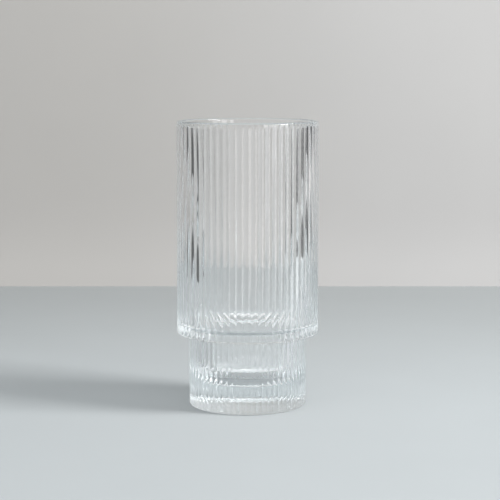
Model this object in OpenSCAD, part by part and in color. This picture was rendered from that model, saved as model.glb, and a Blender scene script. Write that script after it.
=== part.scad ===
// Ribbed stacking highball glass, pressed in clear glass.
// A wide upper cup stands on a narrower lower cup, and both are ribbed on the outside and smooth inside.
// The glass is divided, where its form changes, into lip, upper wall, step, lower wall and base.
// The origin is on the table, at the centre of the base, and +Z is up.

/* [Overall] */
// Height from the table to the top of the lip
glass_height = 141; // [110:1:180]
// Height of the underside of the step above the table
step_height = 36; // [30:0.5:50]

/* [Upper cup] */
// Diameter of the upper cup over its rib crests
upper_diameter = 70; // [66:0.5:90]
// Wall from the inside to the rib crests, at the lip
wall_at_lip = 2.6; // [2:0.1:4]
// Wall from the inside to the rib crests, at the step
wall_above_step = 5.8; // [2.4:0.1:7]

/* [Lower cup] */
// Room around the lower cup's rib crests when it stands in the mouth of another glass
nesting_clearance = 3.4; // [2:0.1:8]
// Wall from the inside to the rib crests, under the step
wall_below_step = 3.8; // [3:0.1:6]
// Wall from the inside to the rib crests, at the inside floor
wall_at_floor = 4.4; // [3:0.1:7]

/* [Step] */
// Glass between the underside of the step and the ledge inside
step_thickness = 4; // [3:0.1:8]
// Rounding of the step's outer bottom edge
step_edge_radius = 1.2; // [0.8:0.1:2]
// Rounding between the underside of the step and the lower cup
step_fillet_radius = 0.8; // [0.4:0.1:1.5]
// Rounding of the ledge's edge over the lower cup
ledge_edge_radius = 1.4; // [1:0.1:3]
// Rounding between the ledge and the upper wall
ledge_corner_radius = 2.4; // [1:0.1:4]

/* [Base] */
// Glass from the table to the inside floor
base_thickness = 12; // [8:0.5:18]
// Rounding between the inside floor and the lower wall
floor_corner_radius = 12; // [2:0.5:14]
// Rounding of the outer bottom edge
foot_edge_radius = 1.6; // [1:0.1:3]
// Width of the flat ring that the glass stands on
standing_ring = 5.8; // [3:0.1:9]
// Depth of the hollow under the base
punt_depth = 1.2; // [0.6:0.1:3]

/* [Ribs] */
// Number of ribs around each cup
rib_count = 64; // [48:1:80]
// Height of the rib crests above the valleys
rib_depth = 0.6; // [0.4:0.05:0.9]
// Length over which the ribs run out below the lip
rib_runout = 1.2; // [0.8:0.1:3]

/* [Lip] */
// Height of the smooth lip above the ribs
lip_height = 1.6; // [1.2:0.1:4]
// Distance of the lip's outer face inside the rib crests
lip_setback = 0.3; // [0.2:0.05:0.4]
// Rounding of the lip's edges
lip_edge_radius = 0.9; // [0.4:0.1:0.9]

/* [Hidden] */

$fn = 96;
// Straight pieces in each rounded corner of an outline
arc_steps = 8;
// Distance by which a trimming outline stands outside the rib crests, so that it crosses them at an angle
trim_margin = 0.2;
// Distance by which the hollow runs past the lip
cut_past = 2;

upper_crest = upper_diameter / 2;
lip_radius = upper_crest - lip_setback;
mouth_radius = upper_crest - wall_at_lip;
lower_crest = mouth_radius - nesting_clearance;

ledge_radius = upper_crest - wall_above_step;
throat_radius = lower_crest - wall_below_step;
floor_radius = lower_crest - wall_at_floor;

ledge_height = step_height + step_thickness;
lip_bottom = glass_height - lip_height;
neck_bottom = step_height - step_fillet_radius;
base_top = (base_thickness + neck_bottom) / 2;
punt_radius = lower_crest + trim_margin - foot_edge_radius - standing_ring;
punt_sphere_radius = (pow(punt_radius, 2) + pow(punt_depth, 2)) / (2 * punt_depth);

glass_tint = [0.80, 0.86, 0.88, 0.55];
thick_glass_tint = [0.68, 0.77, 0.80, 0.7];

// Roundings that the lip's own thickness and the ledge's own width leave room for
lip_rounding = min(lip_edge_radius, 0.45 * (lip_radius - mouth_radius));
ledge_width = ledge_radius - throat_radius;
ledge_edge_rounding = min(ledge_edge_radius, 0.36 * ledge_width);
ledge_corner_rounding = min(ledge_corner_radius, 0.62 * ledge_width);
step_top = ledge_height + ledge_corner_rounding;

// Radius of the drafted inside of the upper cup at a height
function upper_inside(z) =
    ledge_radius + (mouth_radius - ledge_radius) * (z - ledge_height) / (glass_height - ledge_height);

function unit(v) = v / norm(v);

function wrapped(angle) = angle > 180 ? angle - 360 : angle < -180 ? angle + 360 : angle;

// Points of the arc of radius r that rounds corner p between the sides that go to a and b
function corner_arc(a, p, b, r) =
    let (
        u = unit(a - p),
        v = unit(b - p),
        half = acos(u * v) / 2,
        centre = p + unit(u + v) * r / sin(half),
        first = p + u * r / tan(half) - centre,
        last = p + v * r / tan(half) - centre,
        start = atan2(first[1], first[0]),
        turn = wrapped(atan2(last[1], last[0]) - start)
    )
    [
        for (i = [0:arc_steps])
            let (angle = start + turn * i / arc_steps)
            centre + r * [cos(angle), sin(angle)]
    ];

function flat(corner) = [corner[0], corner[1]];

// Outline through corners [radius, height, rounding], with an arc at each corner that has a rounding
function rounded(corners) =
    let (n = len(corners))
    [
        for (i = [0:n - 1])
            each corners[i][2] == 0
                ? [flat(corners[i])]
                : corner_arc(flat(corners[(i + n - 1) % n]), flat(corners[i]), flat(corners[(i + 1) % n]),
                    corners[i][2])
    ];

// Radius of a rib's own arc: it spans one pitch and rises rib_depth from the valleys to the crest
function rib_arc_radius(crest) =
    let (
        half_pitch = 180 / rib_count,
        rise = crest - (crest - rib_depth) * cos(half_pitch),
        half_chord = (crest - rib_depth) * sin(half_pitch)
    )
    (rise * rise + half_chord * half_chord) / (2 * rise);

// Cross-section of a ribbed cup, without its hollow
module ribbed_disc(crest) {
    arc_radius = rib_arc_radius(crest);
    circle(r = crest - arc_radius);
    for (i = [0:rib_count - 1])
        rotate(360 * i / rib_count)
            translate([crest - arc_radius, 0])
                circle(r = arc_radius, $fn = 48);
}

module ribbed_block(crest, bottom, top) {
    translate([0, 0, bottom])
        linear_extrude(height = top - bottom)
            ribbed_disc(crest);
}

module turned(corners) {
    rotate_extrude()
        polygon(rounded(corners));
}

// The whole inside of the glass: floor, lower wall, ledge and upper wall
module hollow() {
    turned([
        [0, base_thickness, 0],
        [floor_radius, base_thickness, floor_corner_radius],
        [throat_radius, ledge_height, ledge_edge_rounding],
        [ledge_radius, ledge_height, ledge_corner_rounding],
        [upper_inside(glass_height + cut_past), glass_height + cut_past, 0],
        [0, glass_height + cut_past, 0]
    ]);
}

// Shape that trims the rib ends: its bottom outer edge is rounded
module round_footed(crest, bottom, top, edge_radius) {
    turned([
        [0, bottom, 0],
        [crest + trim_margin, bottom, edge_radius],
        [crest + trim_margin, top, 0],
        [0, top, 0]
    ]);
}

// Shape that trims the upper rib ends: a cone from outside the crests to the lip's outer face
module run_out_top() {
    turned([
        [0, step_top, 0],
        [upper_crest + lip_setback, step_top, 0],
        [upper_crest + lip_setback, lip_bottom - 2 * rib_runout, 0],
        [lip_radius, lip_bottom, 0],
        [0, lip_bottom, 0]
    ]);
}

// Short neck under the step, filleted into its underside
module neck() {
    rotate_extrude()
        polygon(concat(
            [[0, step_height + step_fillet_radius], [0, neck_bottom]],
            corner_arc([lower_crest, neck_bottom], [lower_crest, step_height],
                [lower_crest + step_fillet_radius, step_height], step_fillet_radius),
            [[lower_crest + step_fillet_radius, step_height + step_fillet_radius]]
        ));
}

module lip() {
    color(glass_tint)
        turned([
            [upper_inside(lip_bottom), lip_bottom, 0],
            [lip_radius, lip_bottom, 0],
            [lip_radius, glass_height, lip_rounding],
            [mouth_radius, glass_height, lip_rounding]
        ]);
}

module upper_wall() {
    color(glass_tint)
        difference() {
            intersection() {
                ribbed_block(upper_crest, step_top, lip_bottom);
                run_out_top();
            }
            hollow();
        }
}

module step() {
    color(thick_glass_tint)
        difference() {
            union() {
                intersection() {
                    ribbed_block(upper_crest, step_height, step_top);
                    round_footed(upper_crest, step_height, step_top, step_edge_radius);
                }
                neck();
            }
            hollow();
        }
}

module lower_wall() {
    color(glass_tint)
        difference() {
            ribbed_block(lower_crest, base_top, neck_bottom);
            hollow();
        }
}

module base() {
    color(thick_glass_tint)
        difference() {
            intersection() {
                ribbed_block(lower_crest, 0, base_top);
                round_footed(lower_crest, 0, base_top, foot_edge_radius);
            }
            hollow();
            translate([0, 0, punt_depth - punt_sphere_radius])
                sphere(r = punt_sphere_radius);
        }
}

lip();
upper_wall();
step();
lower_wall();
base();
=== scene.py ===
# %% [markdown]
# # A ribbed stacking highball glass
# This lesson dresses a clear drinking glass: a wide ribbed cup that steps in to a narrower, thick-based
# one. The construction model divides it into five zones. They could be shown as five pieces of glass, but
# light would show every inner face between them as a false mirror. So here they become one continuous
# skin.

# %% Load the construction model
import math

import bpy
import numpy as np
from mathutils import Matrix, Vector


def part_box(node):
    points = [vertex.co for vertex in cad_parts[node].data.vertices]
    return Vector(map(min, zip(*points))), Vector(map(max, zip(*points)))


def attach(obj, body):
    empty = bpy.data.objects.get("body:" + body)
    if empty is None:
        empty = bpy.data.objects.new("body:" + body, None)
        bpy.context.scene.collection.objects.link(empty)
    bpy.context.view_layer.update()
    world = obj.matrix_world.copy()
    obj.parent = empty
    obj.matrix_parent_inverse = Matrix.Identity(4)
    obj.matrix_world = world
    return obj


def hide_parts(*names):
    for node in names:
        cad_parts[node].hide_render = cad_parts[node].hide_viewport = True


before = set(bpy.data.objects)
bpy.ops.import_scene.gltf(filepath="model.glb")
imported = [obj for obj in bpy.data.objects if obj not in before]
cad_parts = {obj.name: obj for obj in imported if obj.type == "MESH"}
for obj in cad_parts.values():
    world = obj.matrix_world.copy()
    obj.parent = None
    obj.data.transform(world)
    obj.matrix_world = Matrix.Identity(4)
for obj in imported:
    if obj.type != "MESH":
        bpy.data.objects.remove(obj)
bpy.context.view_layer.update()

# %% [markdown]
# ## Sizes
# On the real glass a mould shapes the outside and a smooth plunger shapes the inside. The outside's sizes
# could be typed in again, but they are read from the boxes of the construction's zones, so that the skin
# always fits. Walls and roundings don't show in a box, so they are named here, in metres.

# %% Read the outside from the zones
LOW, HIGH = 0, 1
X, Z = 0, 2
upper_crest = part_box("upper_wall")[HIGH][X]
lower_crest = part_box("lower_wall")[HIGH][X]
lip_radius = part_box("lip")[HIGH][X]
lip_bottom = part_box("lip")[LOW][Z]
glass_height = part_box("lip")[HIGH][Z]
neck_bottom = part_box("step")[LOW][Z]
print(f"crest radii {upper_crest:.4f} m above and {lower_crest:.4f} m below, height {glass_height:.4f} m")

# %% Name the walls
MM = 0.001
wall_at_lip = 2.6 * MM
wall_above_step = 5.8 * MM
wall_below_step = 3.8 * MM
wall_at_floor = 4.4 * MM
step_thickness = 4.0 * MM
base_thickness = 12.0 * MM
mouth_radius = upper_crest - wall_at_lip
ledge_radius = upper_crest - wall_above_step
throat_radius = lower_crest - wall_below_step
floor_radius = lower_crest - wall_at_floor
print(f"inside radii from mouth to floor: {mouth_radius / MM:.1f}, {ledge_radius / MM:.1f},",
      f"{throat_radius / MM:.1f} and {floor_radius / MM:.1f} mm")

# %% Name the step and the foot
step_fillet = 0.8 * MM
step_edge = 1.0 * MM
foot_edge = 1.4 * MM
standing_ring = 5.8 * MM
punt_depth = 1.2 * MM
step_height = neck_bottom + step_fillet
ledge_height = step_height + step_thickness
foot_radius = lower_crest - foot_edge
punt_radius = foot_radius - standing_ring
print(f"step at {step_height / MM:.1f} mm, ledge at {ledge_height / MM:.1f} mm,",
      f"punt {punt_radius / MM:.1f} mm in radius")

# %% [markdown]
# ## The outline
# Apart from its ribs the glass is the same all round, so one outline in the plane of radius and height
# describes it: out along the underside, up the outside, over the lip and down the inside. It could be
# drawn as a curve and spun with the Screw modifier. As numbers it has true arcs at its corners, and the
# ribs can be worked into it. Two support points near the ends of each straight run keep the shading flat
# there.

# %% Round the corners of an outline
RUN_SHARES = np.array([0.02, 0.98])


def corner_arc(before, corner, after, radius, steps):
    """Arc that rounds a corner: its centre lies on the corner's bisector, radius / sin(half angle) away."""
    u = (before - corner) / np.linalg.norm(before - corner)
    v = (after - corner) / np.linalg.norm(after - corner)
    half = math.acos(float(u @ v)) / 2
    bisector = (u + v) / np.linalg.norm(u + v)
    centre = corner + bisector * radius / math.sin(half)
    first = corner + u * radius / math.tan(half) - centre
    last = corner + v * radius / math.tan(half) - centre
    start = math.atan2(first[1], first[0])
    turn = (math.atan2(last[1], last[0]) - start + math.pi) % (2 * math.pi) - math.pi
    angles = start + turn * np.linspace(0, 1, steps + 1)
    return centre + radius * np.stack([np.cos(angles), np.sin(angles)], axis=1)


def rounded_outline(corners):
    """Points from one end (radius, height) to the other, with an arc at each corner between them, which is
    given as (radius, height, rounding, steps), and support points at RUN_SHARES of each straight run."""
    spots = np.array([corner[:2] for corner in corners])
    neighbours = zip(spots[:-2], spots[1:-1], spots[2:], corners[1:-1])
    arcs = [corner_arc(before, spot, after, *corner[2:]) for before, spot, after, corner in neighbours]
    stretches = [spots[:1], *arcs, spots[-1:]]
    points = [stretches[0]]
    for before, after in zip(stretches[:-1], stretches[1:]):
        run = before[-1] + (after[0] - before[-1]) * RUN_SHARES[:, None]
        points += [run, after]
    return np.concatenate(points)


print("support points at", RUN_SHARES, "of each straight run")

# %% Draw the underside
punt_edge = 0.5 * MM
BEND_STEPS = 3

foot_inner = (foot_radius - standing_ring / 2, 0.0)
underside = rounded_outline([
    (0.0, punt_depth),
    (punt_radius, 0.0, punt_edge, BEND_STEPS),
    foot_inner,
])
print("points on the underside:", len(underside))

# %% Draw the outside
lip_rounding = 0.9 * MM
rib_runout = 1.2 * MM
runout_start_bend = 2.0 * MM
runout_end_bend = 1.0 * MM
FOOT_STEPS = 8
FILLET_STEPS = 5
STEP_EDGE_STEPS = 7
LIP_STEPS = 6

lip_middle = ((lip_radius + mouth_radius) / 2, glass_height)
outside = rounded_outline([
    foot_inner,
    (lower_crest, 0.0, foot_edge, FOOT_STEPS),
    (lower_crest, step_height, step_fillet, FILLET_STEPS),
    (upper_crest, step_height, step_edge, STEP_EDGE_STEPS),
    (upper_crest, lip_bottom - rib_runout, runout_start_bend, BEND_STEPS),
    (lip_radius, lip_bottom, runout_end_bend, BEND_STEPS),
    (lip_radius, glass_height, lip_rounding, LIP_STEPS),
    lip_middle,
])[1:]
print("points on the outside:", len(outside))

# %% Draw the inside
ledge_corner = 2.4 * MM
ledge_edge = 1.4 * MM
floor_corner = 12.0 * MM
LEDGE_CORNER_STEPS = 12
LEDGE_EDGE_STEPS = 10
FLOOR_STEPS = 18

inside = rounded_outline([
    lip_middle,
    (mouth_radius, glass_height, lip_rounding, LIP_STEPS),
    (ledge_radius, ledge_height, ledge_corner, LEDGE_CORNER_STEPS),
    (throat_radius, ledge_height, ledge_edge, LEDGE_EDGE_STEPS),
    (floor_radius, base_thickness, floor_corner, FLOOR_STEPS),
    (0.0, base_thickness),
])[1:]
print("points on the inside:", len(inside))

# %% [markdown]
# ## The ribs
# A rib of the real glass is a shallow arc across one pitch, with a tight valley on each side. Ribs could
# be copied round with an Array modifier, or only painted as a bump. But glass bends light at its true
# surface, so they are shaped here, by a formula of the angle. Samples crowd towards the valleys, where
# the surface turns fastest.

# %% Shape one rib
rib_count = 64
VALLEY_SOFTNESS = 0.05
FULL_TURN = 2 * np.pi


def rib_height(angle):
    """Share of the rib depth at an angle: 2 t - t^2, an arc from 0 in a valley to 1 on a crest. Here t is
    the distance from the valley in half pitches, softened as sqrt(t^2 + softness^2) - softness and scaled
    back to 1 on the crest."""
    from_valley = 1 - np.abs((angle * rib_count / FULL_TURN + 0.5) % 1 - 0.5) * 2
    soft = np.sqrt(from_valley ** 2 + VALLEY_SOFTNESS ** 2) - VALLEY_SOFTNESS
    soft /= math.sqrt(1 + VALLEY_SOFTNESS ** 2) - VALLEY_SOFTNESS
    return 2 * soft - soft ** 2


quarter_pitches = FULL_TURN / rib_count * np.linspace(0, 0.5, 3)
print("rib height from crest to valley:", rib_height(quarter_pitches).round(3))

# %% Choose the angles of the samples
RIB_SAMPLES = 16
# A plain ring has one point for so many points of a ribbed ring
PLAIN_SHARE = 4
VALLEY_CROWDING = 0.6

rib_place = np.arange(rib_count * RIB_SAMPLES) / RIB_SAMPLES
crowding = VALLEY_CROWDING * np.sin(FULL_TURN * rib_place) / FULL_TURN
ribbed_angles = FULL_TURN / rib_count * (rib_place + crowding)
plain_angles = FULL_TURN / rib_count * rib_place[::PLAIN_SHARE]
print("points round a ribbed ring:", len(ribbed_angles), "and round a plain one:", len(plain_angles))

# %% [markdown]
# ## The skin
# Now the outline is carried round the axis, ring by ring. The ribs are cut in along the outline's own
# normal, and only as deep as the skin is upright there, so they die away round the foot, the step and the
# lip, as the ribs of a mould do. A Displace modifier could push them in too, but would need a vertex
# group to fade them. The plunger that presses the inside is smooth, so the inside is plain and needs
# fewer points in a ring.

# %% Carry the outline round
rib_depth = 0.6 * MM


def outward_normals(points):
    """Unit normals of an outline: its direction from point to point, turned a quarter to the right."""
    along = np.gradient(points, axis=0)
    along /= np.linalg.norm(along, axis=1, keepdims=True)
    return np.stack([along[:, 1], -along[:, 0]], axis=1)


def turned_skin(points, angles):
    """Grid of a smooth part: each outline point carried round the axis on a circle of its own radius."""
    radius, height = points[:, :1], points[:, 1:]
    return np.stack(np.broadcast_arrays(radius * np.cos(angles), radius * np.sin(angles), height), axis=2)


def ribbed_skin(points, angles):
    """Grid of the outside: each outline point goes round and moves in along its normal by what a rib lacks
    of its full height there, times how upright the skin is, eased to nothing towards the lip."""
    normal = outward_normals(points)
    upright = np.clip(normal[:, 0], 0, 1)
    below_lip = np.clip((lip_bottom - points[:, 1]) / rib_runout, 0, 1)
    depth = rib_depth * upright * below_lip * below_lip * (3 - 2 * below_lip)
    relief = -depth[:, None] * (1 - rib_height(angles))[None, :]
    radius = points[:, :1] + normal[:, :1] * relief
    height = points[:, 1:] + normal[:, 1:] * relief
    return np.stack([radius * np.cos(angles), radius * np.sin(angles), height], axis=2)


under_skin = turned_skin(underside[1:], plain_angles)
outer_skin = ribbed_skin(outside, ribbed_angles)
inner_skin = turned_skin(inside[:-1], plain_angles)
print("rings under, outside and inside:", len(under_skin), len(outer_skin), len(inner_skin))

# %% [markdown]
# ## One closed mesh
# A glass has to be one closed skin, or a renderer can't tell glass from air. The rings could be bridged
# by hand with Bridge Edge Loops. Here their point numbers are joined by arithmetic, a whole ring at a
# time: quads between equal rings, and fans of triangles where a ribbed ring meets a plain one or a ring
# closes at the axis.


# %% Join the rings with faces
def join_rings(first, second):
    """Faces between two rings of point numbers: quads where the rings are equal. Otherwise each edge of the
    fine ring goes to the nearest coarse point, and each coarse edge to the fine point half-way along it."""
    if len(first) == len(second):
        return np.stack([first, np.roll(first, -1), np.roll(second, -1), second], axis=1)
    fine, coarse = (first, second) if len(first) > len(second) else (second, first)
    share = len(fine) // len(coarse)
    spot = np.arange(len(fine))
    nearest = coarse[((spot + share // 2) // share) % len(coarse)]
    fans = np.stack([fine, np.roll(fine, -1), nearest], axis=1)
    middle = fine[(np.arange(len(coarse)) * share + share - share // 2) % len(fine)]
    gaps = np.stack([middle, np.roll(coarse, -1), coarse], axis=1)
    faces = np.concatenate([fans, gaps])
    return faces if len(first) > len(second) else faces[:, ::-1]


def closed_faces(numbers, bottom, top):
    """Blocks of faces of a closed skin: a band between each two rings and a fan to a pole at either end."""
    bands = [join_rings(first, second) for first, second in zip(numbers[:-1], numbers[1:])]
    lowest, highest = numbers[0], numbers[-1]
    bottom_fan = np.stack([np.full(len(lowest), bottom), np.roll(lowest, -1), lowest], axis=1)
    top_fan = np.stack([np.full(len(highest), top), highest, np.roll(highest, -1)], axis=1)
    return [*bands, bottom_fan, top_fan]


rings = [*under_skin, *outer_skin, *inner_skin]
poles = np.array([[0, 0, underside[0, 1]], [0, 0, inside[-1, 1]]])
starts = np.cumsum([0] + [len(ring) for ring in rings])
numbers = [np.arange(start, start + len(ring)) for start, ring in zip(starts, rings)]
face_blocks = closed_faces(numbers, starts[-1], starts[-1] + 1)
print("rings:", len(rings), "and blocks of faces:", len(face_blocks))


# %% Fill the mesh
def filled_mesh(name, vertices, blocks):
    """Smooth mesh from an array of points and blocks of faces, with one row of point numbers for a face."""
    sizes = np.concatenate([np.full(len(block), block.shape[1]) for block in blocks])
    mesh = bpy.data.meshes.new(name)
    mesh.vertices.add(len(vertices))
    mesh.vertices.foreach_set("co", vertices.ravel())
    mesh.loops.add(int(sizes.sum()))
    mesh.loops.foreach_set("vertex_index", np.concatenate([block.ravel() for block in blocks]))
    mesh.polygons.add(len(sizes))
    mesh.polygons.foreach_set("loop_start", np.concatenate([[0], np.cumsum(sizes)[:-1]]))
    mesh.polygons.foreach_set("use_smooth", np.ones(len(sizes), dtype=bool))
    mesh.update(calc_edges=True)
    mesh.validate()
    return mesh


skin = filled_mesh("pressed_glass", np.concatenate([*rings, poles]), face_blocks)
glass = bpy.data.objects.new("pressed_glass", skin)
bpy.context.collection.objects.link(glass)
print("glass skin:", len(skin.vertices), "points,", len(skin.loops) - 2 * len(skin.polygons), "triangles")

# %% Mark the ribbed part
# The filter that the glass is for shadow rays reads this mark
ribbed = np.zeros(len(skin.vertices), dtype=np.float32)
ribbed[starts[len(under_skin)]:starts[len(under_skin) + len(outer_skin)]] = 1
skin.attributes.new("ribbed", "FLOAT", "POINT").data.foreach_set("value", ribbed)
print("ribbed points:", int(ribbed.sum()))

# %% [markdown]
# ## Clear glass
# Soda-lime glass bends light with an index of about 1.52, and a very thin absorption gives the thick base
# its cool cast. Pressed glass is never perfectly even, so its clearness wanders by a trace. The Glass
# shader could make it, but the Principled shader does the same, and exporters read that one. A lamp's
# light reaches the table through a glass along countless bent paths, which is slow to follow. So for
# shadow rays alone the glass is a filter: its ribs, which spread the light, hold some of it back, and its
# smooth faces let it pass. That gives the soft, light shadow that glass has.


# %% Write helpers for nodes
def new_material(name):
    """Empty material with its nodes and links: the Principled shader already feeds its output."""
    material = bpy.data.materials.new(name)
    material.use_nodes = True
    return material, material.node_tree.nodes, material.node_tree.links


def object_noise(nodes, links, scale, low, high):
    """Noise over object coordinates, spread from low to high; returns the socket with its value."""
    place = nodes.new("ShaderNodeTexCoord")
    noise = nodes.new("ShaderNodeTexNoise")
    noise.inputs["Scale"].default_value = scale
    links.new(place.outputs["Object"], noise.inputs["Vector"])
    spread = nodes.new("ShaderNodeMapRange")
    spread.inputs["To Min"].default_value = low
    spread.inputs["To Max"].default_value = high
    links.new(noise.outputs["Fac"], spread.inputs["Value"])
    return spread.outputs["Result"]


def colour_mix(nodes, links, factor, first, second):
    """Colour that goes from first to second as the factor's socket goes from 0 to 1; returns its socket.
    First and second are each a colour or the socket of one."""
    mix = nodes.new("ShaderNodeMix")
    mix.data_type = "RGBA"
    links.new(factor, mix.inputs["Factor"])
    for side, colour in (("A", first), ("B", second)):
        if isinstance(colour, tuple):
            mix.inputs[side].default_value = colour
        else:
            links.new(colour, mix.inputs[side])
    return mix.outputs["Result"]


def surface_switch(nodes, links, factor, usual, other):
    """Surface of a material: the usual shader where the factor's socket is 0, the other where it is 1."""
    switch = nodes.new("ShaderNodeMixShader")
    links.new(factor, switch.inputs["Fac"])
    links.new(usual.outputs["BSDF"], switch.inputs[1])
    links.new(other.outputs["BSDF"], switch.inputs[2])
    links.new(switch.outputs["Shader"], nodes["Material Output"].inputs["Surface"])


print("helpers: new_material, object_noise, colour_mix and surface_switch")

# %% Make the glass
GLASS_INDEX = 1.52
CLEARNESS_SCALE = 120
CLEARNESS_LOW, CLEARNESS_HIGH = 0.985, 1.0
GLASS_CAST = (0.80, 0.915, 0.95, 1)
CAST_DENSITY = 6
RIBS_PASS = (0.53, 0.54, 0.545, 1)
SMOOTH_PASS = (0.98, 0.98, 0.98, 1)


def clear_glass():
    """Glass that absorbs as exp(-density * (1 - cast) * path); for shadow rays a filter set by "ribbed"."""
    material, nodes, links = new_material("clear_glass")
    shader = nodes["Principled BSDF"]
    clearness = object_noise(nodes, links, CLEARNESS_SCALE, CLEARNESS_LOW, CLEARNESS_HIGH)
    links.new(clearness, shader.inputs["Base Color"])
    shader.inputs["Transmission Weight"].default_value = 1
    shader.inputs["IOR"].default_value = GLASS_INDEX
    shader.inputs["Roughness"].default_value = 0
    absorb = nodes.new("ShaderNodeVolumeAbsorption")
    absorb.inputs["Color"].default_value = GLASS_CAST
    absorb.inputs["Density"].default_value = CAST_DENSITY
    links.new(absorb.outputs["Volume"], nodes["Material Output"].inputs["Volume"])
    ribs = nodes.new("ShaderNodeAttribute")
    ribs.attribute_name = "ribbed"
    passing = colour_mix(nodes, links, ribs.outputs["Fac"], SMOOTH_PASS, RIBS_PASS)
    pale_filter = nodes.new("ShaderNodeBsdfTransparent")
    links.new(passing, pale_filter.inputs["Color"])
    path = nodes.new("ShaderNodeLightPath")
    surface_switch(nodes, links, path.outputs["Is Shadow Ray"], shader, pale_filter)
    return material


skin.materials.append(clear_glass())
# Light scattered by the table and the wall passes the glass by, for the same reason as the filter
glass.visible_diffuse = False
print("glass finish:", skin.materials[0].name)

# %% [markdown]
# ## Table and wall
# The glass stands on a pale table before a pale wall. They could be solid boxes, but one flat sheet each
# is enough, and a sheet can show its front alone. Its back is clear, so the glass can be seen from behind
# and below too. Each paint carries painted shade: it fades from a lit tone to a shaded one, the table
# darker towards the back and the wall darker on the left, away from the key. It also wanders by a trace.

# %% Write the paint
MOTTLE_SCALE = 14
MOTTLE_LOW, MOTTLE_HIGH = 0.98, 1.02


def eased(nodes, links, value, start, end):
    """Share t from 0 at start to 1 at end of a value, eased as 3 t^2 - 2 t^3; returns its socket."""
    ease = nodes.new("ShaderNodeMapRange")
    ease.interpolation_type = "SMOOTHSTEP"
    ease.inputs["From Min"].default_value = start
    ease.inputs["From Max"].default_value = end
    links.new(value, ease.inputs["Value"])
    return ease.outputs["Result"]


def matte_with_painted_shade(name, axis, shade_span, shade_tones, roughness, gloss):
    """One-sided paint with painted shade: lit and shaded tones mixed by the eased place along an axis,
    times a trace of noise.
    """
    material, nodes, links = new_material(name)
    shader = nodes["Principled BSDF"]
    place = nodes.new("ShaderNodeTexCoord")
    split = nodes.new("ShaderNodeSeparateXYZ")
    links.new(place.outputs["Object"], split.inputs["Vector"])
    # Painted shade: the lit tone fades to the shaded one along the axis
    paint = colour_mix(nodes, links, eased(nodes, links, split.outputs[axis], *shade_span), *shade_tones)
    mottle = nodes.new("ShaderNodeMix")
    mottle.data_type = "RGBA"
    mottle.blend_type = "MULTIPLY"
    mottle.inputs["Factor"].default_value = 1
    links.new(paint, mottle.inputs["A"])
    links.new(object_noise(nodes, links, MOTTLE_SCALE, MOTTLE_LOW, MOTTLE_HIGH), mottle.inputs["B"])
    links.new(mottle.outputs["Result"], shader.inputs["Base Color"])
    shader.inputs["Roughness"].default_value = roughness
    shader.inputs["Specular IOR Level"].default_value = gloss
    side = nodes.new("ShaderNodeNewGeometry")
    clear = nodes.new("ShaderNodeBsdfTransparent")
    surface_switch(nodes, links, side.outputs["Backfacing"], shader, clear)
    return material


print("paint mottled by", MOTTLE_LOW, "to", MOTTLE_HIGH)


# %% Lay the table
def flat_sheet(name, corners):
    """One face through four corners; its front is the side from which they run anticlockwise."""
    mesh = bpy.data.meshes.new(name)
    mesh.from_pydata(corners, [], [(0, 1, 2, 3)])
    sheet = bpy.data.objects.new(name, mesh)
    bpy.context.collection.objects.link(sheet)
    return sheet


TABLE_LEFT, TABLE_RIGHT = -0.32, 0.39
TABLE_FRONT, TABLE_BACK = -0.26, 0.405
TABLE_TOP = -0.0001
# Painted shade: the table darkens from a lit tone at the front to a shaded one at the back
TABLE_SHADE_SPAN = (-0.05, 0.40)
TABLE_LIT_NEAR, TABLE_SHADED_FAR = (0.57, 0.61, 0.625, 1), (0.455, 0.48, 0.485, 1)

table = flat_sheet("table", [
    (TABLE_LEFT, TABLE_FRONT, TABLE_TOP), (TABLE_RIGHT, TABLE_FRONT, TABLE_TOP),
    (TABLE_RIGHT, TABLE_BACK, TABLE_TOP), (TABLE_LEFT, TABLE_BACK, TABLE_TOP),
])
table.data.materials.append(matte_with_painted_shade(
    "table_paint_with_painted_shade", axis="Y", shade_span=TABLE_SHADE_SPAN, shade_tones=(TABLE_LIT_NEAR, TABLE_SHADED_FAR), roughness=0.8, gloss=0.15))
print(f"table {TABLE_RIGHT - TABLE_LEFT:.2f} m wide and {TABLE_BACK - TABLE_FRONT:.2f} m deep")

# %% Put up the wall
WALL_LEFT, WALL_RIGHT = -0.85, 0.56
WALL_FOOT, WALL_HEAD = -0.3, 1.2
WALL_PLACE = 0.52
# Painted shade: the wall is darker on the left, away from the key light, and lighter on the right
WALL_SHADE_SPAN = (-0.16, 0.16)
WALL_SHADED, WALL_LIT = (0.490, 0.477, 0.457, 1), (0.522, 0.515, 0.506, 1)

wall = flat_sheet("wall", [
    (WALL_LEFT, WALL_PLACE, WALL_FOOT), (WALL_RIGHT, WALL_PLACE, WALL_FOOT),
    (WALL_RIGHT, WALL_PLACE, WALL_HEAD), (WALL_LEFT, WALL_PLACE, WALL_HEAD),
])
wall.data.materials.append(matte_with_painted_shade(
    "wall_paint_with_painted_shade", axis="X", shade_span=WALL_SHADE_SPAN, shade_tones=(WALL_SHADED, WALL_LIT), roughness=0.6, gloss=0.2))
print(f"wall {WALL_RIGHT - WALL_LEFT:.2f} m wide, {WALL_PLACE - TABLE_BACK:.3f} m behind the table")

# %% [markdown]
# ## Lamps
# A soft light at the right throws the shadow to the left, and a weaker one above the front fills it in.
# Low panes at the front right are what the ribs mirror as white lines, as they would mirror windows. A
# picture of a room could give all of this at once, but lamps can be placed and dimmed one by one. The
# panes are hidden to rays that pass through the glass, because seen from behind they would wash it out.


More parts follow.
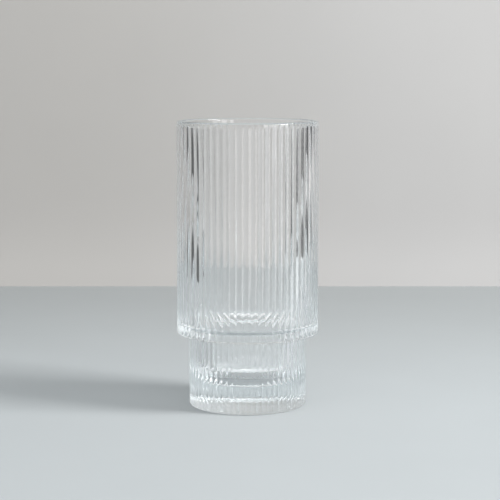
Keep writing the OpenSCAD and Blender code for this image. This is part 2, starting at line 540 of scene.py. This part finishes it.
# %% Set up the lamps
def softbox(name, bearing, climb, reach, width, height, radiance):
    """Rectangular lamp that faces the glass: with radiance L and area A it gives pi * A * L watts."""
    lamp = bpy.data.objects.new(name, bpy.data.lights.new(name, "AREA"))
    bpy.context.collection.objects.link(lamp)
    lamp.data.shape = "RECTANGLE"
    lamp.data.size = width
    lamp.data.size_y = height
    lamp.data.energy = math.pi * width * height * radiance
    bearing, climb = math.radians(bearing), math.radians(climb)
    level = reach * math.cos(climb)
    lamp.location = (level * math.cos(bearing), level * math.sin(bearing), reach * math.sin(climb))
    lamp.rotation_euler = (-lamp.location).to_track_quat("-Z", "Y").to_euler()
    return lamp


key = softbox("key", bearing=-18, climb=38, reach=2.4, width=0.75, height=0.75, radiance=30)
overhead = softbox("overhead", bearing=-90, climb=66, reach=0.85, width=0.5, height=0.5, radiance=1.5)
print(f"key {key.data.energy:.1f} W, overhead {overhead.data.energy:.2f} W")

# %% Stand the low panes
# Bearing in degrees, width in metres and radiance of each pane
LOW_PANES = ((-61, 0.16, 3.6), (-47, 0.22, 3.6), (-30, 0.30, 3.2))
PANE_CLIMB = 0
PANE_REACH = 1.25
PANE_HEIGHT = 1.0

for pane_bearing, pane_width, radiance in LOW_PANES:
    pane = softbox(f"low_pane_{-pane_bearing}", pane_bearing, PANE_CLIMB, PANE_REACH,
                   pane_width, PANE_HEIGHT, radiance)
    pane.visible_transmission = False
    print(f"{pane.name} {pane.data.energy:.2f} W")

# %% [markdown]
# ## The surround
# Clear glass has hardly any colour of its own: what shows in it is the room, bent by the ribs. A picture
# of a room could be wrapped round the scene. Here the world is worked out from the way a ray leaves, so
# that each level can be set by itself. Low down it is a ring of brightness by bearing: its dark zones
# draw grey lines along the ribs, and its bright zone draws white ones. Higher up it blends into an even
# sky. The sky lights the table gently, and looks paler where glass or gloss shows it. The camera itself
# sees only the pale sky, so the glass has an even backdrop from every side.

# %% Start the world
world = bpy.data.worlds.new("surround")
world.use_nodes = True
nodes, links = world.node_tree.nodes, world.node_tree.links
view = nodes.new("ShaderNodeTexCoord")
way = nodes.new("ShaderNodeSeparateXYZ")
links.new(view.outputs["Generated"], way.inputs["Vector"])
path = nodes.new("ShaderNodeLightPath")
print("world:", world.name)

# %% Ring the room round the glass
# Bearing in degrees and brightness of each stop
ROOM = ((-180, 0.66), (-140, 0.62), (-105, 0.50), (-95, 0.6), (-61, 0.6), (-58, 1.7),
        (-41, 1.7), (-37, 0.6), (-20, 0.7), (-8, 0.11), (34, 0.08), (44, 0.5),
        (146, 0.6), (155, 0.08), (170, 0.10), (178, 0.66))
ROOM_TINT = np.array([1, 1.02, 1.04])
HALF_TURN = 180


def room_ring():
    """Colour by bearing: the arc tangent of a ray's Y over X, from -pi to pi, laid along a colour ramp."""
    turn = nodes.new("ShaderNodeMath")
    turn.operation = "ARCTAN2"
    links.new(way.outputs["Y"], turn.inputs[0])
    links.new(way.outputs["X"], turn.inputs[1])
    bearing = nodes.new("ShaderNodeMapRange")
    bearing.inputs["From Min"].default_value = -math.pi
    bearing.inputs["From Max"].default_value = math.pi
    links.new(turn.outputs["Value"], bearing.inputs["Value"])
    ring = nodes.new("ShaderNodeValToRGB")
    links.new(bearing.outputs["Result"], ring.inputs["Fac"])
    places = [(angle + HALF_TURN) / (2 * HALF_TURN) for angle, level in ROOM]
    stops = ring.color_ramp.elements
    for place in places[1:-1]:
        stops.new(place)
    stops[-1].position = places[-1]
    for stop, (angle, level) in zip(stops, ROOM):
        stop.color = (*(level * ROOM_TINT), 1)
    return ring.outputs["Color"]


room = room_ring()
print("stops round the room:", len(room.node.color_ramp.elements))

# %% Blend the room into the sky
SKY_LIGHT = (0.20, 0.204, 0.208, 1)
SKY_SEEN = (0.85, 0.865, 0.875, 1)
RISE_START, RISE_END = 0.05, 0.35

seen = nodes.new("ShaderNodeMath")
seen.operation = "ADD"
links.new(path.outputs["Is Glossy Ray"], seen.inputs[0])
links.new(path.outputs["Is Transmission Ray"], seen.inputs[1])
sky = colour_mix(nodes, links, seen.outputs["Value"], SKY_LIGHT, SKY_SEEN)
rise = eased(nodes, links, way.outputs["Z"], RISE_START, RISE_END)
surround = colour_mix(nodes, links, rise, room, sky)
backdrop = colour_mix(nodes, links, path.outputs["Is Camera Ray"], surround, SKY_SEEN)
links.new(backdrop, nodes["Background"].inputs["Color"])
bpy.context.scene.world = world
print("sky seen:", SKY_SEEN[:3], "sky as light:", SKY_LIGHT[:3])

# %% [markdown]
# ## The camera
# The camera stands before the glass, a little higher than its lip, and looks down by a few degrees, so
# that the mouth shows as a flat ellipse. Its focal length could be tried out by eye. It was fitted in
# pixels of a square frame instead, and is turned here into millimetres on the sensor. A new camera looks
# straight down: turned up by 90 degrees it looks level, and by a little less it looks down at the glass.
# Light crosses many faces of glass on its way, so it may bounce more often than usual before it is given
# up.

# %% Place the camera
SENSOR_MM = 36
FRAME_PIXELS = 500
FOCAL_PIXELS = 1551
CAMERA_PLACE = (0.0012, -0.762, 0.170)
LEVEL = 90
LOOK_DOWN = 6.95

camera = bpy.data.objects.new("camera", bpy.data.cameras.new("camera"))
bpy.context.collection.objects.link(camera)
camera.data.sensor_width = SENSOR_MM
camera.data.lens = SENSOR_MM * FOCAL_PIXELS / FRAME_PIXELS
camera.location = CAMERA_PLACE
camera.rotation_euler = (math.radians(LEVEL - LOOK_DOWN), 0, 0)
bpy.context.scene.camera = camera
print(f"lens {camera.data.lens:.1f} mm")

# %% Let light through many faces
GLASS_BOUNCES = 32
GLOSSY_BOUNCES = 16

bpy.context.scene.cycles.max_bounces = GLASS_BOUNCES
bpy.context.scene.cycles.transmission_bounces = GLASS_BOUNCES
bpy.context.scene.cycles.glossy_bounces = GLOSSY_BOUNCES
bpy.context.scene.view_settings.view_transform = "Standard"
print("bounces:", GLASS_BOUNCES, "through glass and", GLOSSY_BOUNCES, "off gloss")

# %% [markdown]
# ## Handing over
# The skin could be cut up again to match the zones, but it stands for all five at once, because the
# real glass is one piece. The table and the wall are only the stage.

# %% Hand the pieces over
GLASS_NODES = ("lip", "upper_wall", "step", "lower_wall", "base")
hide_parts(*GLASS_NODES)
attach(glass, "root")
